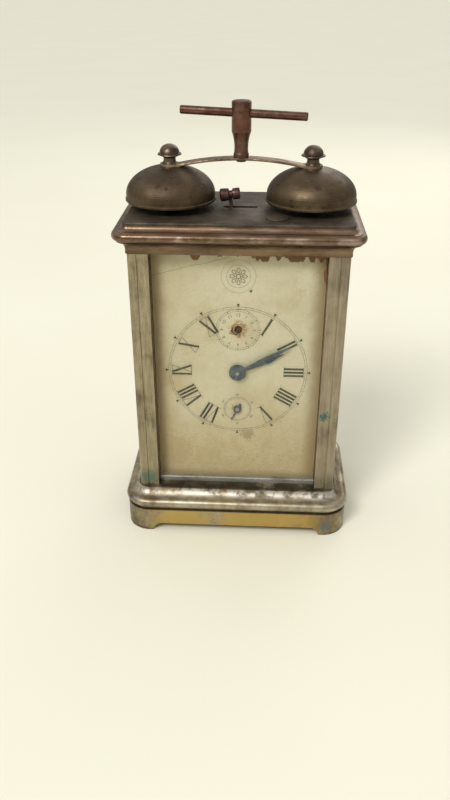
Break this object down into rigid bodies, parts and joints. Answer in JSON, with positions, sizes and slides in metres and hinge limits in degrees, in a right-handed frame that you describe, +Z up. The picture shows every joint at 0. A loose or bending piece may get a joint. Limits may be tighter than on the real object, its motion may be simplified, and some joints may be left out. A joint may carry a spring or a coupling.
{
  "type": "carriage clock",
  "caption": "Rectangular glazed clock case on bracket feet with a paper dial, a movement inside, and an alarm with a hammer between bells under a T-shaped carrying handle.",
  "frame": {"origin": "bottom centre of the case, on the surface that the feet stand on", "axes": "+Z up, the dial faces -Y, +X to the right of someone who looks at the dial"},
  "size_m": [0.1106, 0.0676, 0.1993],
  "materials": {
    "worn_brass": "worn, dull brass with grey patina",
    "cornice_bronze": "dark brown-grey patina",
    "plate_dark": "dark grey-brown, dull",
    "glass_clear": "clear",
    "paper": "matt, aged",
    "hand_steel": "slate grey, hazy",
    "bell_steel": "brushed, dark brown-olive",
    "handle_dark": "dark reddish brown, worn",
    "nut_dark": "dark, worn",
    "movement_brass": "satin",
    "movement_steel": "satin",
    "spring_steel": "blued",
    "hammer_metal": "purple-brown, dull"
  },
  "bodies": {
    "case": {"plinth": "worn_brass", "front_left_post": "worn_brass", "front_right_post": "worn_brass", "rear_left_post": "worn_brass", "rear_right_post": "worn_brass", "front_sill": "worn_brass", "front_glass": "glass_clear", "left_glass": "glass_clear", "right_glass": "glass_clear", "cornice": "cornice_bronze", "top_plate": "plate_dark", "top_plug": "worn_brass", "back_panel": "worn_brass", "back_panel_screws": "movement_steel", "case_screws": "movement_steel", "dial_plate": "movement_brass", "dial_paper": "paper", "left_bell": "bell_steel", "right_bell": "bell_steel", "bell_studs": "nut_dark", "bell_nuts": "nut_dark", "handle_strap": "nut_dark", "handle_post": "handle_dark", "handle_bar": "handle_dark", "front_plate": "movement_brass", "back_plate": "movement_brass", "plate_pillars": "movement_brass", "pillar_standoffs": "movement_brass", "time_mainspring": "spring_steel", "alarm_mainspring": "spring_steel", "hairspring": "spring_steel"},
    "minute_arbor": {"centre_arbor": "movement_steel", "cannon_pinion": "movement_brass", "minute_hand": "hand_steel", "hand_set_knob": "movement_brass"},
    "minute_wheel": {"minute_wheel": "movement_brass"},
    "hour_wheel": {"hour_wheel": "movement_brass", "hour_hand": "hand_steel"},
    "alarm_wheel": {"alarm_wheel": "movement_brass"},
    "seconds_arbor": {"fourth_wheel": "movement_brass", "seconds_hand": "hand_steel"},
    "third_arbor": {"third_wheel": "movement_brass"},
    "centre_wheel": {"centre_wheel": "movement_brass"},
    "time_great_wheel": {"time_great_wheel": "movement_brass", "time_click": "movement_steel"},
    "time_winding": {"time_winding_arbor": "movement_steel", "time_key": "movement_brass"},
    "escape_arbor": {"escape_wheel": "movement_brass"},
    "balance": {"balance_wheel": "movement_brass"},
    "pallet_lever": {"pallet_lever": "movement_steel"},
    "regulator": {"regulator_lever": "movement_brass"},
    "alarm_great_wheel": {"alarm_great_wheel": "movement_brass", "alarm_click": "movement_steel"},
    "alarm_winding": {"alarm_winding_arbor": "movement_steel", "alarm_key": "movement_brass"},
    "alarm_escape": {"alarm_escape_wheel": "movement_brass"},
    "hammer": {"hammer": "hammer_metal"},
    "alarm_setting": {"alarm_set_arbor": "movement_steel", "alarm_set_knob": "movement_brass"},
    "stop_lever": {"stop_lever": "movement_brass"}
  },
  "joints": [
    {"name": "hand_set_turn", "type": "hinge", "parent": "case", "child": "minute_arbor", "pos_m": [0, 0, 0.0836], "axis": [0, 1, 0], "continuous": true},
    {"name": "minute_wheel_turn", "type": "hinge", "parent": "case", "child": "minute_wheel", "pos_m": [-0.01131, 0, 0.07707], "axis": [0, 1, 0], "continuous": true},
    {"name": "hour_turn", "type": "hinge", "parent": "case", "child": "hour_wheel", "pos_m": [0, 0, 0.0836], "axis": [0, 1, 0], "continuous": true},
    {"name": "alarm_wheel_turn", "type": "hinge", "parent": "case", "child": "alarm_wheel", "pos_m": [0, 0, 0.1045], "axis": [0, 1, 0], "continuous": true},
    {"name": "train_turn", "type": "hinge", "parent": "case", "child": "seconds_arbor", "pos_m": [0, 0, 0.0636], "axis": [0, 1, 0], "continuous": true},
    {"name": "third_turn", "type": "hinge", "parent": "case", "child": "third_arbor", "pos_m": [0.00904, 0, 0.07265], "axis": [0, 1, 0], "continuous": true},
    {"name": "centre_wheel_turn", "type": "hinge", "parent": "case", "child": "centre_wheel", "pos_m": [0, 0, 0.0836], "axis": [0, 1, 0], "continuous": true},
    {"name": "time_great_turn", "type": "hinge", "parent": "case", "child": "time_great_wheel", "pos_m": [0.0185, 0, 0.09355], "axis": [0, 1, 0], "continuous": true},
    {"name": "escape_turn", "type": "hinge", "parent": "case", "child": "escape_arbor", "pos_m": [-0.0071, 0, 0.0565], "axis": [0, 1, 0], "continuous": true},
    {"name": "time_key_turn", "type": "hinge", "parent": "time_great_wheel", "child": "time_winding", "pos_m": [0.0185, 0, 0.09355], "axis": [0, 1, 0], "range_deg": [0, 2160]},
    {"name": "balance_swing", "type": "hinge", "parent": "case", "child": "balance", "pos_m": [-0.024, 0, 0.0501], "axis": [0, 1, 0], "range_deg": [-150, 150], "stiffness_Nm_per_rad": 0.000012},
    {"name": "pallet_swing", "type": "hinge", "parent": "case", "child": "pallet_lever", "pos_m": [-0.0135, 0, 0.0501], "axis": [0, 1, 0], "range_deg": [-6, 6]},
    {"name": "regulator_turn", "type": "hinge", "parent": "case", "child": "regulator", "pos_m": [-0.024, 0, 0.0501], "axis": [0, 1, 0], "range_deg": [-15, 15]},
    {"name": "alarm_train_turn", "type": "hinge", "parent": "case", "child": "alarm_great_wheel", "pos_m": [-0.0185, 0, 0.09355], "axis": [0, 1, 0], "continuous": true},
    {"name": "alarm_escape_turn", "type": "hinge", "parent": "case", "child": "alarm_escape", "pos_m": [-0.01, 0, 0.1088], "axis": [0, 1, 0], "continuous": true},
    {"name": "alarm_key_turn", "type": "hinge", "parent": "alarm_great_wheel", "child": "alarm_winding", "pos_m": [-0.0185, 0, 0.09355], "axis": [0, 1, 0], "range_deg": [0, 1440]},
    {"name": "hammer_swing", "type": "hinge", "parent": "case", "child": "hammer", "pos_m": [0, 0, 0.1206], "axis": [0, 1, 0], "range_deg": [-2.2, 15.8]},
    {"name": "alarm_set_turn", "type": "hinge", "parent": "case", "child": "alarm_setting", "pos_m": [0, 0, 0.1045], "axis": [0, 1, 0], "continuous": true},
    {"name": "stop_lever_turn", "type": "hinge", "parent": "case", "child": "stop_lever", "pos_m": [0.014, 0, 0.1206], "axis": [0, 1, 0], "range_deg": [0, 35]}
  ],
  "couplings": [
    {"joint": "minute_wheel_turn", "follows": "hand_set_turn", "ratio": -0.33333},
    {"joint": "hour_turn", "follows": "hand_set_turn", "ratio": 0.083333},
    {"joint": "alarm_wheel_turn", "follows": "hand_set_turn", "ratio": -0.083333},
    {"joint": "third_turn", "follows": "train_turn", "ratio": -0.125},
    {"joint": "centre_wheel_turn", "follows": "train_turn", "ratio": 0.016667},
    {"joint": "time_great_turn", "follows": "train_turn", "ratio": -0.0027778},
    {"joint": "escape_turn", "follows": "train_turn", "ratio": -8},
    {"joint": "pallet_swing", "follows": "balance_swing", "ratio": 0.04},
    {"joint": "alarm_escape_turn", "follows": "alarm_train_turn", "ratio": -6}
  ]
}
